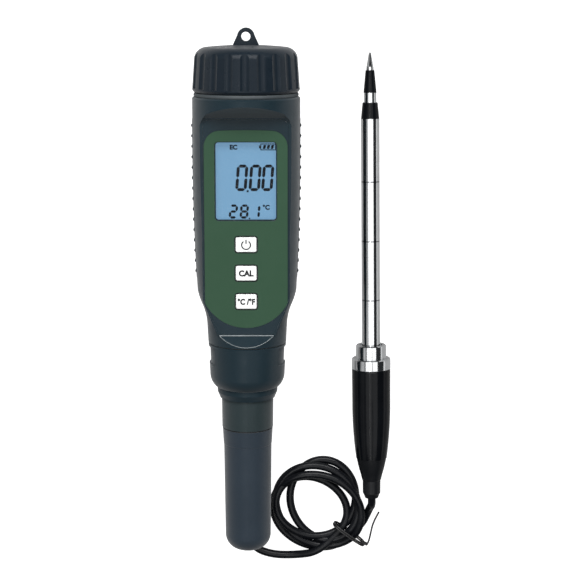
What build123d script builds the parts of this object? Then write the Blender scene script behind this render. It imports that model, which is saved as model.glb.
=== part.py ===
from build123d import *
from math import cos, radians, sin, sqrt, tan
import os

# A pen-type conductivity meter with a steel soil probe on a thin cable.  The meter and the
# probe lie side by side on a table: the table is z = 0, +Y runs towards the meter's cap and
# the probe's tip, and +Z points up out of the meter's display.  All sizes are in mm.

os.makedirs("parts", exist_ok=True)

# Where the two tools lie
meter_x = -17.3                  # the meter's long axis stands at this x
axis_z = 19.45                   # height of the meter's axis: the body just rests on the table
probe_tip = (27.75, 88.1, 2.49)  # apex of the probe
probe_yaw = 0.66                 # degrees the probe turns away from +Y
probe_tilt = 2.385               # degrees its tail lifts, resting on its flange and its shaft

# Meter stations along Y
lug_y = 94.4
cap_top = 91.4
cap_rim = 74.9
seal_top = 74.6
body_top = 73.2
neck_top = 83.5
fold_y = 66.25                   # upper end of the flat front
lip_y = -12.3                    # lower end of the flat front
body_end = -16.5
spigot_end = -26.0
collar_end = -37.4
stem_end = -48.8
tube_start = -49.3
tube_end = -97.0

# Meter radii, measured from its axis
body_r = 19.4
body_low_r = 18.1                # where the shoulder starts, at y = shoulder_y
straight_y = 53.8
shoulder_y = 3.1
neck_r = 16.6
neck_bore_r = 14.4
cap_bore_r = 16.9
spigot_r = 11.9
spigot_bore_r = 10.0
stem_top_r = 9.65
stem_low_r = 9.45
tube_r = 8.5

# Flat front, heights above the meter's axis
flat_h = 10.7
plate_h = 9.2                    # underside of the front plate
ledge_h = 7.9                    # inside of the front wall
label_seat_h = 10.4
label_h = 10.8
flat_half = 15.64
plate_gap = 0.45
lip_bead_r = 0.3                 # a bead along the flat front's lower edge

# Display and keys
window_size = (22.2, 28.3)
window_y = 43.75
key_size = (7.4, 5.3)
key_ys = (21.1, 10.7, 0.35)
key_top_h = 11.2
board_top_h = 3.6
board_thick = 1.6

# Flutes round the cap and ribs along the side grips
flute_count = 20
flute_r = 2.4
flute_depth = 0.7
rib_count = 15
rib_first_y = 9.9
rib_last_y = 62.9

# Probe stations, measured from the tip towards the tail
tip_len = 6.5
ring_start = 14.75
ring_end = 18.3
shaft_start = 24.3
ferrule_start = 109.0
flange_start = 114.1
handle_start = 118.3
ferrule_end = 126.0              # its spigot, inside the handle
shank_end = 132.0
boot_start = 152.7
probe_len = 168.4
ferrule_r = 5.68
flange_r = 7.3
shaft_r = 3.42
shank_r = 3.1                    # the shaft is turned down where the ferrule holds it

# Cable
cord_r = 1.5
coil_height = 6.9
lead_points = [
    (-17.3, -90.0, 9.6),
    (-17.3, -90.0, 4.2),
    (-18.5, -96.6, 1.55),
    (-15.4, -103.4, 1.55),
    (-8.4, -106.1, 1.55),
    (0.4, -106.2, 1.55),
    (9.4, -103.0, 2.9),
]
tail_points = [
    (29.69, -80.14, 9.50),
    (29.73, -83.34, 9.63),
    (28.50, -86.90, 8.00),
    (26.90, -89.50, 4.80),
]
coil_centres = [(11.7, -82.6), (6.05, -86.0), (13.2, -89.3)]
coil_r = 16.2
coil_hole_centre = (9.9, -85.3)
coil_hole_radii = (8.7, 10.75)

# Planes: side planes hold the outlines that are turned about an axis, with their local x
# along the tool and their local y as the radius
meter_side = Plane(origin=(meter_x, 0, axis_z), x_dir=(0, 1, 0), z_dir=(1, 0, 0))
meter_axis = Axis((meter_x, 0, axis_z), (0, 1, 0))
yaw = radians(probe_yaw)
tilt = radians(probe_tilt)
tailward = Vector(sin(yaw) * cos(tilt), -cos(yaw) * cos(tilt), sin(tilt))
probe_side = Plane(origin=probe_tip, x_dir=tailward, z_dir=(-cos(yaw), -sin(yaw), 0))
probe_axis = Axis(probe_tip, tailward)


def front(height):
    """A plane parallel to the flat front, at a height above the meter's axis."""
    return Plane(origin=(meter_x, 0, axis_z + height))


def cross(station):
    """A plane across the meter's axis at one station, facing the cap."""
    return Plane(origin=(meter_x, station, axis_z), x_dir=(1, 0, 0), z_dir=(0, 1, 0))


arc_drop = body_r - body_low_r
arc_run = straight_y - shoulder_y
body_arc_r = (arc_run**2 + arc_drop**2) / (2 * arc_drop)


def body_radius(y):
    """Outside radius of the meter's body between its shoulder and its cap."""
    if y > straight_y:
        return body_r
    return body_r - body_arc_r + sqrt(body_arc_r**2 - (straight_y - y) ** 2)


def bend_radii(points):
    """The radius of each bend of a cable's route, as large as its two runs allow."""
    radii = []
    for before, corner, after in zip(points, points[1:], points[2:]):
        run_in = Vector(*corner) - Vector(*before)
        run_out = Vector(*after) - Vector(*corner)
        half_turn = radians(run_in.get_angle(run_out) / 2)
        radii.append(0.45 * min(run_in.length, run_out.length) / tan(half_turn))
    return radii


# ---------------------------------------------------------------- battery cap
# A screw cap with twenty flutes and a lug for a lanyard.
with BuildPart() as battery_cap:
    with BuildSketch(meter_side):
        with BuildLine():
            Polyline((cap_rim, cap_bore_r), (cap_rim, 18.7), (75.7, 19.3), (87.1, 18.5))
            ThreePointArc((87.1, 18.5), (89.5, 17.1), (90.6, 15.0))
            ThreePointArc((90.6, 15.0), (91.2, 7.5), (cap_top, 0))
            Polyline(
                (cap_top, 0),
                (88.4, 0),
                (88.4, 13.2),
                (87.35, 13.2),
                (87.35, 14.15),
                (85.45, 14.15),
                (85.45, 13.7),
                (84.9, 13.7),
                (84.9, cap_bore_r),
                (cap_rim, cap_bore_r),
            )
        make_face()
    revolve(axis=meter_axis)
    for flute in range(flute_count):
        angle = radians(flute * 360 / flute_count)
        outward = Vector(sin(angle), 0, cos(angle))
        start = Vector(meter_x, 76.3, axis_z) + outward * (19.25 + flute_r - flute_depth)
        end = Vector(meter_x, 90.0, axis_z) + outward * (18.3 + flute_r - flute_depth)
        with BuildSketch(Plane(origin=start, z_dir=end - start)):
            Circle(flute_r)
        extrude(amount=(end - start).length, mode=Mode.SUBTRACT)
    with BuildSketch(front(0)):
        with Locations((0, lug_y)):
            Circle(3.1)
        Polygon((-5.0, 90.6), (5.0, 90.6), (3.02, 95.0), (-3.02, 95.0), align=None)
    extrude(amount=2.1, both=True)
    with BuildSketch(front(0)):
        with Locations((0, lug_y)):
            Circle(1.65)
    extrude(amount=3, both=True, mode=Mode.SUBTRACT)
battery_cap.part.label = "battery_cap"
export_step(battery_cap.part, "parts/battery_cap.step")

# A disc snapped into the cap's groove.  It rises with the cap but doesn't turn with it.
with BuildPart() as contact_disc:
    with BuildSketch(cross(85.6)):
        Circle(14.1)
        Circle(1.2, mode=Mode.SUBTRACT)
    extrude(amount=1.6)
contact_disc.part.label = "contact_disc"
export_step(contact_disc.part, "parts/contact_disc.step")

# A brass contact riveted to the disc, with a dimple that presses on the top cell.
with BuildPart() as contact_leaf:
    with BuildSketch(meter_side):
        with BuildLine():
            Polyline((87.5, 0), (87.5, 1.9), (87.25, 1.9), (87.25, 1.15), (85.55, 1.15))
            Polyline((85.55, 1.15), (85.55, 7.0), (85.2, 7.0), (85.2, 4.4), (83.6, 2.6), (83.3, 0))
            Line((83.3, 0), (87.5, 0))
        make_face()
    revolve(axis=meter_axis)
contact_leaf.part.label = "contact_leaf"
export_step(contact_leaf.part, "parts/contact_leaf.step")

# A soft ring between the cap and the body.
with BuildPart() as cap_seal:
    with BuildSketch(meter_side):
        with BuildLine():
            Polyline((body_top, neck_r + 0.05), (seal_top, neck_r + 0.05), (seal_top, 18.5))
            ThreePointArc((seal_top, 18.5), (73.9, 18.85), (body_top, 18.5))
            Line((body_top, 18.5), (body_top, neck_r + 0.05))
        make_face()
    revolve(axis=meter_axis)
cap_seal.part.label = "cap_seal"
export_step(cap_seal.part, "parts/cap_seal.step")

# ---------------------------------------------------------------- housing
# A moulded tube with a threaded neck at each end and a flat front cut into it.
with BuildPart() as cavity:
    with BuildSketch(meter_side):
        Polygon(
            (84.5, 0),
            (84.5, neck_bore_r),
            (72.8, neck_bore_r),
            (70.3, 17.2),
            (50.0, 17.2),
            (4.0, 15.9),
            (-7.5, 12.3),
            (-15.2, 12.3),
            (-17.5, spigot_bore_r),
            (-27.0, spigot_bore_r),
            (-27.0, 0),
            align=None,
        )
    revolve(axis=meter_axis)
    with BuildSketch(meter_side):
        Polygon(
            (-11.9, ledge_h),
            (67.5, ledge_h),
            (73.4, 19.6),
            (73.4, 30),
            (-22, 30),
            (-22, 17.7),
            align=None,
        )
    extrude(amount=25, both=True, mode=Mode.SUBTRACT)

with BuildSketch() as flat_outline:
    with BuildLine():
        Polyline(
            (flat_half, 0.4),
            (flat_half, fold_y),
            (-flat_half, fold_y),
            (-flat_half, 0.4),
            (-10.45, lip_y),
            (10.45, lip_y),
            (flat_half, 0.4),
        )
    make_face()
    knees = flat_outline.vertices().group_by(Axis.Y)[1]
    fillet(knees, radius=3)
    shoulders = flat_outline.vertices().group_by(Axis.Y)[-1]
    fillet(shoulders, radius=3.2)

grip_low_y = rib_first_y - 2.4
grip_high_y = rib_last_y + 2.4
grip_mid_y = 32.0
grip_depth = 0.9                 # how deep the strips are let into the body
grip_proud = 0.1                 # how far they stand out of it between their ribs
grip_top_angle = radians(4)      # the strips start just above the body's widest line
grip_arc = 44
rib_pitch = (rib_last_y - rib_first_y) / (rib_count - 1)


def make_grip(side):
    """A ribbed rubber strip let into the body: side is 1 at +X and -1 at -X."""
    outward = Vector(side * cos(grip_top_angle), 0, sin(grip_top_angle))
    plane = Plane(origin=(meter_x, 0, axis_z), x_dir=(0, 1, 0), z_dir=Vector(0, 1, 0).cross(outward))
    axis = Axis((meter_x, 0, axis_z), (0, side, 0))
    with BuildPart() as grip:
        with BuildSketch(plane):
            with BuildLine():
                Line((grip_high_y, body_r + grip_proud), (straight_y, body_r + grip_proud))
                ThreePointArc(
                    (straight_y, body_r + grip_proud),
                    (grip_mid_y, body_radius(grip_mid_y) + grip_proud),
                    (grip_low_y, body_radius(grip_low_y) + grip_proud),
                )
                Polyline(
                    (grip_low_y, body_radius(grip_low_y) + grip_proud),
                    (grip_low_y, body_radius(grip_low_y) - grip_depth),
                    (grip_high_y, body_r - grip_depth),
                    (grip_high_y, body_r + grip_proud),
                )
            make_face()
        revolve(axis=axis, revolution_arc=grip_arc)
        for rib in range(rib_count):
            rib_y = rib_first_y + rib * rib_pitch
            with BuildSketch(plane):
                with Locations((rib_y, body_radius(rib_y) - 0.15)):
                    Circle(0.62)
            revolve(axis=axis, revolution_arc=grip_arc)
    return grip.part


grip_left_part = make_grip(-1)
grip_right_part = make_grip(1)

# What is cut away to leave the flat front: a slope at each end, and rounded upper corners.
with BuildPart() as front_cut:
    with BuildSketch(meter_side):
        Polygon(
            (lip_y, flat_h),
            (fold_y, flat_h),
            (70.9, 20.0),
            (70.9, 30),
            (-20, 30),
            (-20, 18.2),
            align=None,
        )
    extrude(amount=25, both=True)
    with BuildSketch(front(0)):
        with BuildLine():
            Polyline((12.6, 68.6), (8.0, 72.0), (-8.0, 72.0), (-12.6, 68.6))
            ThreePointArc((-12.6, 68.6), (-15.6, 65.2), (-16.6, 61.0))
            Polyline((-16.6, 61.0), (-16.6, -22.0), (16.6, -22.0), (16.6, 61.0))
            ThreePointArc((16.6, 61.0), (15.6, 65.2), (12.6, 68.6))
        make_face()
    extrude(amount=40, mode=Mode.INTERSECT)

with BuildPart() as housing:
    with BuildSketch(meter_side):
        with BuildLine():
            Polyline(
                (neck_top, 0),
                (neck_top, 16.1),
                (neck_top - 0.5, neck_r),
                (body_top, neck_r),
                (body_top, 18.8),
                (body_top - 0.5, body_r),
                (straight_y, body_r),
            )
            TangentArc((straight_y, body_r), (shoulder_y, body_low_r), tangent=(-1, 0))
            ThreePointArc((shoulder_y, body_low_r), (0.6, 17.5), (-2.4, 16.35))
            ThreePointArc((-2.4, 16.35), (-5.6, 15.28), (-9.0, 14.7))
            Polyline(
                (-9.0, 14.7),
                (body_end, 14.33),
                (body_end, spigot_r),
                (spigot_end + 0.4, spigot_r),
                (spigot_end, spigot_r - 0.4),
                (spigot_end, 0),
                (neck_top, 0),
            )
        make_face()
    revolve(axis=meter_axis)
    with BuildSketch(front(2)):
        add(flat_outline.sketch)
    extrude(amount=flat_h - 2)
    add(cavity.part, mode=Mode.SUBTRACT)
    add(front_cut.part, mode=Mode.SUBTRACT)
    with BuildSketch(Plane(origin=(meter_x - 10.1, lip_y + 0.15, axis_z + flat_h), z_dir=(1, 0, 0))):
        Circle(lip_bead_r)
    extrude(amount=20.2)
    with BuildSketch(front(plate_h)):
        add(flat_outline.sketch)
        offset(amount=-plate_gap)
    extrude(amount=flat_h - plate_h + 1, mode=Mode.SUBTRACT)
    with BuildSketch(front(ledge_h - 1)):
        add(flat_outline.sketch)
        offset(amount=-2.3)
    extrude(amount=3, mode=Mode.SUBTRACT)
    add(grip_left_part, mode=Mode.SUBTRACT)
    add(grip_right_part, mode=Mode.SUBTRACT)
housing.part.label = "housing"
export_step(housing.part, "parts/housing.step")

grip_left_part.label = "grip_left"
export_step(grip_left_part, "parts/grip_left.step")
grip_right_part.label = "grip_right"
export_step(grip_right_part, "parts/grip_right.step")

# ---------------------------------------------------------------- front plate, label and lens
with BuildSketch() as label_outline:
    with BuildLine():
        Line((14.87, -0.3), (14.87, 61.5))
        ThreePointArc((14.87, 61.5), (0, 62.0), (-14.87, 61.5))
        Line((-14.87, 61.5), (-14.87, -0.3))
        ThreePointArc((-14.87, -0.3), (0, -9.4), (14.87, -0.3))
    make_face()
    top_corners = label_outline.vertices().group_by(Axis.Y)[-1]
    fillet(top_corners, radius=5.8)

with BuildSketch() as key_holes:
    for key_y in key_ys:
        with Locations((0, key_y)):
            RectangleRounded(key_size[0] + 0.5, key_size[1] + 0.5, 0.85)

with BuildPart() as front_plate:
    with BuildSketch(front(plate_h)):
        add(flat_outline.sketch)
        offset(amount=-plate_gap - 0.06)
    extrude(amount=flat_h - plate_h)
    with BuildSketch(front(label_seat_h)):
        add(label_outline.sketch)
        offset(amount=0.08)
    extrude(amount=2, mode=Mode.SUBTRACT)
    with BuildSketch(front(plate_h)):
        with Locations((0, window_y)):
            RectangleRounded(window_size[0] - 0.7, window_size[1] - 0.7, 1.0)
        add(key_holes.sketch)
    extrude(amount=2, mode=Mode.SUBTRACT)
    with BuildSketch(front(9.6)):
        with Locations((0, window_y)):
            RectangleRounded(window_size[0] + 0.06, window_size[1] + 0.06, 1.4)
    extrude(amount=2, mode=Mode.SUBTRACT)
front_plate.part.label = "front_plate"
export_step(front_plate.part, "parts/front_plate.step")

# A printed film with openings for the lens and the three keys.
with BuildPart() as front_label:
    with BuildSketch(front(label_seat_h)):
        add(label_outline.sketch)
        with Locations((0, window_y)):
            RectangleRounded(window_size[0] + 0.06, window_size[1] + 0.06, 1.4, mode=Mode.SUBTRACT)
        add(key_holes.sketch, mode=Mode.SUBTRACT)
    extrude(amount=label_h - label_seat_h)
front_label.part.label = "front_label"
export_step(front_label.part, "parts/front_label.step")

with BuildPart() as display_lens:
    with BuildSketch(front(9.6)):
        with Locations((0, window_y)):
            RectangleRounded(window_size[0] - 0.06, window_size[1] - 0.06, 1.35)
    extrude(amount=label_h - 9.6 - 0.05)
display_lens.part.label = "display_lens"
export_step(display_lens.part, "parts/display_lens.step")

# ---------------------------------------------------------------- display stack
lcd_y = 43.5
with BuildPart() as lcd_glass:
    with BuildSketch(front(6.5)):
        with Locations((0, lcd_y)):
            Rectangle(24.2, 30.6)
    extrude(amount=1.8)
lcd_glass.part.label = "lcd_glass"
export_step(lcd_glass.part, "parts/lcd_glass.step")

with BuildPart() as backlight:
    with BuildSketch(front(4.7)):
        with Locations((0, lcd_y + 1.6)):
            Rectangle(24.0, 27.2)
    extrude(amount=1.6)
backlight.part.label = "backlight"
export_step(backlight.part, "parts/backlight.step")

with BuildPart() as lcd_frame:
    with BuildSketch(front(board_top_h)):
        with Locations((0, lcd_y)):
            Rectangle(26.2, 31.8)
            Rectangle(24.4, 30.8, mode=Mode.SUBTRACT)
    extrude(amount=5.1)
    with BuildSketch(front(8.4)):
        with Locations((0, lcd_y)):
            Rectangle(26.2, 31.8)
            Rectangle(22.9, 29.2, mode=Mode.SUBTRACT)
    extrude(amount=0.3)
lcd_frame.part.label = "lcd_frame"
export_step(lcd_frame.part, "parts/lcd_frame.step")

# A conductive rubber strip that joins the display's glass to the board.
with BuildPart() as zebra_strip:
    with BuildSketch(front(board_top_h)):
        with Locations((0, lcd_y - 13.8)):
            Rectangle(21.0, 2.0)
    extrude(amount=6.5 - board_top_h)
zebra_strip.part.label = "zebra_strip"
export_step(zebra_strip.part, "parts/zebra_strip.step")

# ---------------------------------------------------------------- circuit board
screw_spots = [(-11.0, 24.6), (11.0, 24.6), (-7.4, -5.6), (7.4, -5.6)]
with BuildPart() as circuit_board:
    with BuildSketch(front(board_top_h - board_thick)):
        with BuildLine():
            Polyline((-13.2, 59.2), (13.2, 59.2), (13.2, 2.0), (9.0, -4.0), (9.0, -13.5))
            Polyline((9.0, -13.5), (-9.0, -13.5), (-9.0, -4.0), (-13.2, 2.0), (-13.2, 59.2))
        make_face()
        with Locations(*screw_spots):
            Circle(1.05, mode=Mode.SUBTRACT)
    extrude(amount=board_thick)
circuit_board.part.label = "circuit_board"
export_step(circuit_board.part, "parts/circuit_board.step")

with BuildPart() as controller_chip:
    with BuildSketch(front(board_top_h - board_thick - 1.2)):
        with Locations((0, 14.0)):
            Rectangle(7.0, 7.0)
    extrude(amount=1.2)
controller_chip.part.label = "controller_chip"
export_step(controller_chip.part, "parts/controller_chip.step")

# Three snap switches, one under each key.
with BuildPart() as key_switches:
    with BuildSketch(front(board_top_h)):
        with Locations(*[(0, key_y) for key_y in key_ys]):
            Rectangle(4.6, 4.6)
    extrude(amount=1.5)
    with BuildSketch(front(board_top_h + 1.5)):
        with Locations(*[(0, key_y) for key_y in key_ys]):
            Circle(1.1)
    extrude(amount=0.7)
key_switches.part.label = "key_switches"
export_step(key_switches.part, "parts/key_switches.step")


def make_key(key_y):
    """One key: a rounded cap, a flange that keeps it behind the plate, and a short stem."""
    with BuildPart() as key:
        with BuildSketch(front(8.7)):
            with Locations((0, key_y)):
                RectangleRounded(key_size[0], key_size[1], 0.6)
        extrude(amount=key_top_h - 8.7)
        fillet(key.faces().sort_by(Axis.Z)[-1].edges(), radius=0.25)
        with BuildSketch(front(8.1)):
            with Locations((0, key_y)):
                RectangleRounded(key_size[0] + 1.8, key_size[1] + 1.8, 0.9)
        extrude(amount=0.6)
        with BuildSketch(front(6.5)):
            with Locations((0, key_y)):
                Circle(1.3)
        extrude(amount=1.6)
    return key.part


key_power_part = make_key(key_ys[0])
key_power_part.label = "key_power"
export_step(key_power_part, "parts/key_power.step")
key_cal_part = make_key(key_ys[1])
key_cal_part.label = "key_cal"
export_step(key_cal_part, "parts/key_cal.step")
key_unit_part = make_key(key_ys[2])
key_unit_part.label = "key_unit"
export_step(key_unit_part, "parts/key_unit.step")

# A frame of two rails that carries the board inside the housing.
with BuildPart() as board_tray:
    with BuildSketch(front(-1.0)):
        with Locations((-11.0, 30.0), (11.0, 30.0)):
            Rectangle(3.0, 56.0)
        with Locations((-7.4, -4.5), (7.4, -4.5)):
            Rectangle(3.0, 15.0)
        with Locations((0, 2.5)):
            Rectangle(25.0, 3.0)
        with Locations((0, 56.5)):
            Rectangle(25.0, 3.0)
    extrude(amount=board_top_h - board_thick + 1.0)
    with BuildSketch(front(-1.0)):
        with Locations(*screw_spots):
            Circle(0.85)
    extrude(amount=4.0, mode=Mode.SUBTRACT)
board_tray.part.label = "board_tray"
export_step(board_tray.part, "parts/board_tray.step")

with BuildPart() as board_screws:
    with BuildSketch(front(board_top_h)):
        with Locations(*screw_spots):
            Circle(1.7)
    extrude(amount=0.8)
    with BuildSketch(front(0)):
        with Locations(*screw_spots):
            Circle(0.83)
    extrude(amount=board_top_h)
board_screws.part.label = "board_screws"
export_step(board_screws.part, "parts/board_screws.step")

# ---------------------------------------------------------------- batteries
# Four button cells stacked in a tube under the cap.
with BuildPart() as battery_holder:
    with BuildSketch(meter_side):
        Polygon(
            (59.8, 0),
            (59.8, 7.0),
            (81.6, 7.0),
            (81.6, neck_bore_r - 0.05),
            (83.0, neck_bore_r - 0.05),
            (83.0, 6.0),
            (60.7, 6.0),
            (60.7, 0),
            align=None,
        )
    revolve(axis=meter_axis)
battery_holder.part.label = "battery_holder"
export_step(battery_holder.part, "parts/battery_holder.step")

with BuildPart() as cell_contact:
    with BuildSketch(meter_side):
        Polygon((60.75, 0), (60.75, 5.7), (61.1, 5.7), (61.1, 3.4), (61.5, 2.6), (61.5, 0), align=None)
    revolve(axis=meter_axis)
cell_contact.part.label = "cell_contact"
export_step(cell_contact.part, "parts/cell_contact.step")

cell_pitch = 5.42
with BuildPart() as button_cells:
    for cell in range(4):
        with BuildSketch(meter_side):
            start = 61.5 + cell * cell_pitch
            Polygon(
                (start, 0),
                (start, 4.6),
                (start + 0.4, 5.2),
                (start + 0.8, 5.75),
                (start + 5.1, 5.75),
                (start + 5.35, 5.5),
                (start + 5.35, 0),
                align=None,
            )
        revolve(axis=meter_axis)
button_cells.part.label = "button_cells"
export_step(button_cells.part, "parts/button_cells.step")

# ---------------------------------------------------------------- collar and sensor stem
with BuildPart() as collar_nut:
    with BuildSketch(meter_side):
        with BuildLine():
            Polyline(
                (-16.85, 12.2),
                (-16.85, 13.95),
                (-17.1, 14.25),
                (-23.2, 14.0),
                (-29.0, 13.72),
            )
            ThreePointArc((-29.0, 13.72), (-31.6, 12.9), (-33.2, 11.6))
            Polyline((-33.2, 11.6), (-33.4, 11.1), (-35.3, 11.05))
            Polyline((-35.3, 11.05), (-36.9, 10.35), (collar_end, 10.2))
            Polyline(
                (collar_end, 10.2),
                (collar_end, 9.95),
                (-29.1, 9.95),
                (-29.1, 12.05),
                (-28.0, 12.05),
                (-28.0, 12.2),
                (-16.85, 12.2),
            )
        make_face()
    revolve(axis=meter_axis)
    for side in (-1, 1):
        outward = Vector(side * cos(radians(35)), 0, sin(radians(35)))
        pad_plane = Plane(
            origin=(meter_x, 0, axis_z), x_dir=(0, 1, 0), z_dir=Vector(0, 1, 0).cross(outward)
        )
        with BuildSketch(pad_plane):
            Polygon((-17.9, 13.65), (-24.3, 13.45), (-24.3, 15), (-17.9, 15), align=None)
        revolve(axis=Axis((meter_x, 0, axis_z), (0, side, 0)), revolution_arc=70, mode=Mode.SUBTRACT)
collar_nut.part.label = "collar_nut"
export_step(collar_nut.part, "parts/collar_nut.step")

# A slip ring held in the nut, so that the nut turns without dragging the stem.
with BuildPart() as collar_washer:
    with BuildSketch(meter_side):
        Polygon((-29.05, 10.25), (-28.3, 10.25), (-28.3, 11.98), (-29.05, 11.98), align=None)
    revolve(axis=meter_axis)
collar_washer.part.label = "collar_washer"
export_step(collar_washer.part, "parts/collar_washer.step")

with BuildPart() as stem_tube:
    with BuildSketch(meter_side):
        Polygon(
            (-19.0, 7.6),
            (-19.0, 9.6),
            (-21.4, 9.6),
            (-21.4, 8.55),
            (-23.2, 8.55),
            (-23.2, 9.6),
            (spigot_end - 0.1, 9.6),
            (spigot_end - 0.1, 11.6),
            (-27.6, 11.6),
            (-27.8, stem_top_r),
            (stem_end, stem_low_r),
            (stem_end, 7.6),
            (-56.8, 7.6),
            (-56.8, 6.2),
            (-28.0, 6.2),
            (-28.0, 7.6),
            align=None,
        )
    revolve(axis=meter_axis)
stem_tube.part.label = "stem_tube"
export_step(stem_tube.part, "parts/stem_tube.step")

with BuildPart() as stem_seal:
    with BuildSketch(meter_side):
        with Locations((-22.3, 9.27)):
            Circle(0.7)
    revolve(axis=meter_axis)
stem_seal.part.label = "stem_seal"
export_step(stem_seal.part, "parts/stem_seal.step")

with BuildPart() as stem_gasket:
    with BuildSketch(meter_side):
        Polygon(
            (tube_start, 7.65),
            (stem_end, 7.65),
            (stem_end, 8.8),
            (tube_start, 8.8),
            align=None,
        )
    revolve(axis=meter_axis)
stem_gasket.part.label = "stem_gasket"
export_step(stem_gasket.part, "parts/stem_gasket.step")

grommet_y = lead_points[0][1]
with BuildPart() as end_tube:
    with BuildSketch(meter_side):
        with BuildLine():
            Polyline((tube_start, 7.65), (tube_start, 9.3), (-55.2, 8.98), (-55.4, 8.86), (-90.6, tube_r))
            ThreePointArc((-90.6, tube_r), (-94.6, 7.05), (-96.5, 3.9))
            TangentArc((tube_end, 0), (-96.5, 3.9), tangent=(0, 1))
            Line((tube_end, 0), (-95.6, 0))
            TangentArc((-95.6, 0), (-94.6, 3.8), tangent=(0, 1))
            ThreePointArc((-94.6, 3.8), (-93.2, 6.0), (-90.6, 7.1))
            Polyline((-90.6, 7.1), (-57.2, 7.2), (-57.2, 7.65), (tube_start, 7.65))
        make_face()
    revolve(axis=meter_axis)
    with BuildSketch(Plane.XY):
        with Locations((meter_x, grommet_y)):
            Circle(2.45)
    extrude(amount=axis_z, mode=Mode.SUBTRACT)
end_tube.part.label = "end_tube"
export_step(end_tube.part, "parts/end_tube.step")

# A rubber bush where the cable leaves the underside of the tube.
grommet_low = lead_points[0][2]
with BuildPart() as cord_grommet:
    with BuildSketch(Plane.XY.offset(grommet_low)):
        with Locations((meter_x, grommet_y)):
            Circle(2.4)
    extrude(amount=4.4)
    with BuildSketch(Plane.XY.offset(grommet_low)):
        with Locations((meter_x, grommet_y)):
            Circle(3.3)
    extrude(amount=1.3)
    fillet(cord_grommet.faces().sort_by(Axis.Z)[0].edges(), radius=0.5)
cord_grommet.part.label = "cord_grommet"
export_step(cord_grommet.part, "parts/cord_grommet.step")

# The wires from the board to the cable, and the plug header that they start from.
with BuildPart() as wire_header:
    with BuildSketch(front(board_top_h)):
        with Locations((0, -10.6)):
            Rectangle(8.0, 4.6)
    extrude(amount=3.4)
wire_header.part.label = "wire_header"
export_step(wire_header.part, "parts/wire_header.step")

with BuildPart() as signal_wires:
    for wire in (-1, 0, 1):
        with BuildLine() as wire_path:
            FilletPolyline(
                (meter_x + 1.8 * wire, -12.95, axis_z + 5.2),
                (meter_x + 1.8 * wire, -17.0, axis_z + 5.2),
                (meter_x + 1.4 * wire, -30.0, axis_z + 1.0),
                (meter_x + 1.2 * wire, -82.0, axis_z + 1.0),
                (meter_x + 1.2 * wire, grommet_y, axis_z - 2.5),
                (meter_x + 1.2 * wire, grommet_y, grommet_low + 4.45),
                radius=1.5,
            )
        with BuildSketch(wire_path.line ^ 0):
            Circle(0.45)
        sweep(path=wire_path.line)
signal_wires.part.label = "signal_wires"
export_step(signal_wires.part, "parts/signal_wires.step")

# ---------------------------------------------------------------- probe
# A pointed steel electrode, two insulating cones with a steel ring between them, and a long
# steel shaft that a stepped ferrule joins to the handle.
with BuildPart() as tip_electrode:
    with BuildSketch(probe_side):
        with BuildLine():
            Polyline((0, 0), (0, 0.2), (0.25, 0.42), (tip_len - 1.2, 1.3), (tip_len, 1.4))
            Polyline((tip_len, 1.4), (tip_len, 0.8), (30.0, 0.8), (30.0, 0), (0, 0))
        make_face()
    revolve(axis=probe_axis)
tip_electrode.part.label = "tip_electrode"
export_step(tip_electrode.part, "parts/tip_electrode.step")

with BuildPart() as tip_insulator:
    with BuildSketch(probe_side):
        Polygon(
            (tip_len, 0.8),
            (tip_len, 1.64),
            (ring_start, 2.42),
            (ring_start, 0.8),
            align=None,
        )
    revolve(axis=probe_axis)
tip_insulator.part.label = "tip_insulator"
export_step(tip_insulator.part, "parts/tip_insulator.step")

with BuildPart() as ring_electrode:
    with BuildSketch(probe_side):
        Polygon((ring_start, 1.35), (ring_start, 2.3), (ring_end, 2.34), (ring_end, 1.35), align=None)
    revolve(axis=probe_axis)
ring_electrode.part.label = "ring_electrode"
export_step(ring_electrode.part, "parts/ring_electrode.step")

with BuildPart() as shaft_insulator:
    with BuildSketch(probe_side):
        Polygon(
            (ring_start, 0.8),
            (ring_start, 1.35),
            (ring_end, 1.35),
            (ring_end, 2.72),
            (ring_end + 0.3, 2.84),
            (shaft_start, 3.4),
            (shaft_start, 2.6),
            (30.0, 2.6),
            (30.0, 0.8),
            align=None,
        )
    revolve(axis=probe_axis)
shaft_insulator.part.label = "shaft_insulator"
export_step(shaft_insulator.part, "parts/shaft_insulator.step")

with BuildPart() as shaft_tube:
    with BuildSketch(probe_side):
        Polygon(
            (shaft_start, 2.62),
            (shaft_start, shaft_r),
            (ferrule_start + 1.2, shaft_r),
            (ferrule_start + 1.2, shank_r),
            (shank_end, shank_r),
            (shank_end, 2.62),
            align=None,
        )
    revolve(axis=probe_axis)
shaft_tube.part.label = "shaft_tube"
export_step(shaft_tube.part, "parts/shaft_tube.step")

with BuildPart() as shaft_ferrule:
    with BuildSketch(probe_side):
        Polygon(
            (ferrule_start + 1.2, shank_r + 0.02),
            (ferrule_start + 1.2, 4.1),
            (ferrule_start, 4.1),
            (ferrule_start, 5.35),
            (ferrule_start + 0.35, ferrule_r),
            (flange_start, ferrule_r),
            (flange_start, 7.0),
            (flange_start + 0.3, flange_r),
            (handle_start - 0.3, flange_r),
            (handle_start, 7.05),
            (handle_start, 4.7),
            (ferrule_end, 4.7),
            (ferrule_end, shank_r + 0.02),
            align=None,
        )
    revolve(axis=probe_axis)
shaft_ferrule.part.label = "shaft_ferrule"
export_step(shaft_ferrule.part, "parts/shaft_ferrule.step")

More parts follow.
